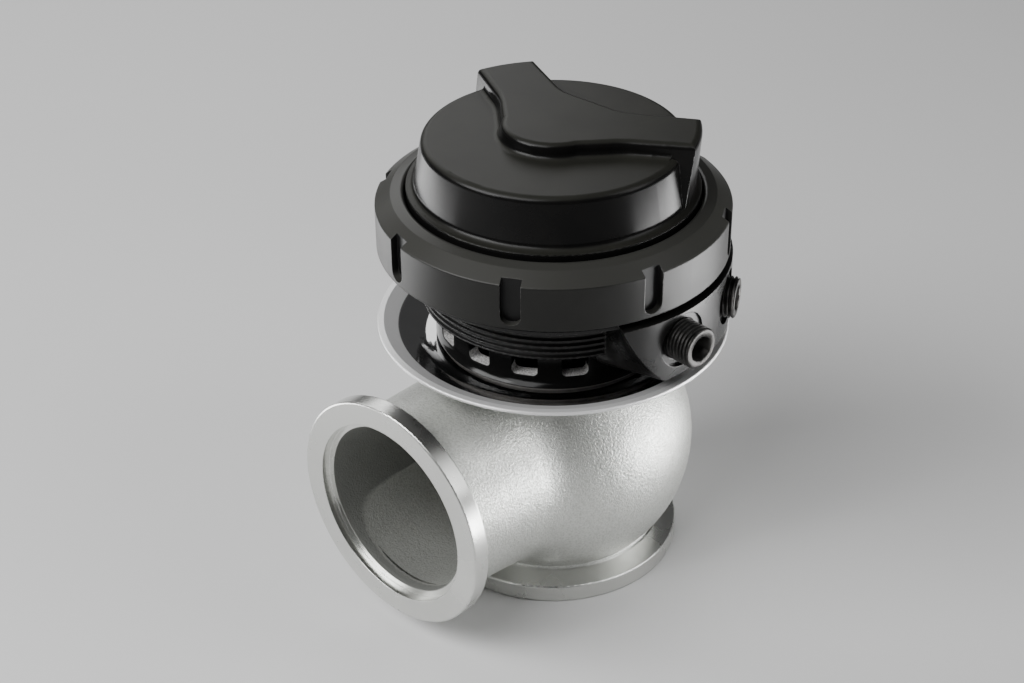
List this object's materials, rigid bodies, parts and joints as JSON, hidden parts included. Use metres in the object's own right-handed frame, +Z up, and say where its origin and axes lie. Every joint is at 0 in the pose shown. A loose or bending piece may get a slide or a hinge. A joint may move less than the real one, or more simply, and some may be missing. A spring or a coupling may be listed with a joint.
{
  "type": "turbo wastegate",
  "caption": "External turbocharger wastegate: cast stainless valve body with clamp flanges, sprung poppet valve and black diaphragm actuator under a screwed locking collar.",
  "frame": {"origin": "centre of the inlet flange's lower face, on the valve axis", "axes": "+Z up the valve axis towards the cap, -Y out of the outlet, +X towards the port boss"},
  "size_m": [0.0893, 0.0977, 0.1142],
  "materials": {
    "cast_stainless": "sand-cast, fine grain",
    "turned_stainless": "machined",
    "polished_stainless": "mirror polished",
    "black_anodised": "gloss black anodised",
    "plain_aluminium": "machined",
    "bronze": "machined",
    "graphite": "pressed graphite",
    "gasket_fibre": "compressed fibre",
    "black_steel": "black oxide",
    "zinc_steel": "zinc plated",
    "spring_steel": "shot-peened",
    "seal_rubber": "matt",
    "diaphragm_rubber": "fabric-backed silicone",
    "slip_polymer": "smooth"
  },
  "bodies": {
    "housing": {"valve_body": "cast_stainless", "valve_seat": "turned_stainless", "valve_guide": "bronze", "stem_scraper": "graphite", "heat_shield": "polished_stainless", "base_gasket": "gasket_fibre", "actuator_housing": "black_anodised", "stem_seal": "seal_rubber", "seal_retainer": "zinc_steel", "housing_screws": "black_steel", "screw_washers": "zinc_steel", "locating_pin": "zinc_steel", "diaphragm": "diaphragm_rubber", "front_port_plug": "black_steel", "side_port_plug": "black_steel"},
    "valve_train": {"valve": "turned_stainless", "lower_plate": "plain_aluminium", "upper_plate": "plain_aluminium", "plate_washer": "zinc_steel", "stem_nut": "zinc_steel"},
    "spring_cap": {"cap": "black_anodised", "cap_o_ring": "seal_rubber", "slip_ring": "slip_polymer", "spring_seat": "zinc_steel", "outer_spring": "spring_steel", "middle_spring": "spring_steel", "inner_spring": "spring_steel"},
    "collar": {"locking_collar": "black_anodised"}
  },
  "joints": [
    {"name": "valve_lift", "type": "slide", "parent": "housing", "child": "valve_train", "axis": [0, 0, 1], "range_m": [0, 0.01], "stiffness_N_per_m": 7800, "deforming": ["diaphragm", "outer_spring", "middle_spring", "inner_spring"]},
    {"name": "cap_lift", "type": "slide", "parent": "housing", "child": "spring_cap", "axis": [0, 0, 1], "range_m": [0, 0.0045]},
    {"name": "collar_turn", "type": "hinge", "parent": "spring_cap", "child": "collar", "pos_m": [0, 0, 0.0894], "axis": [0, 0, 1], "range_deg": [0, 1080]}
  ],
  "couplings": [
    {"joint": "cap_lift", "follows": "collar_turn", "m_per_rad": 0.00023873}
  ]
}
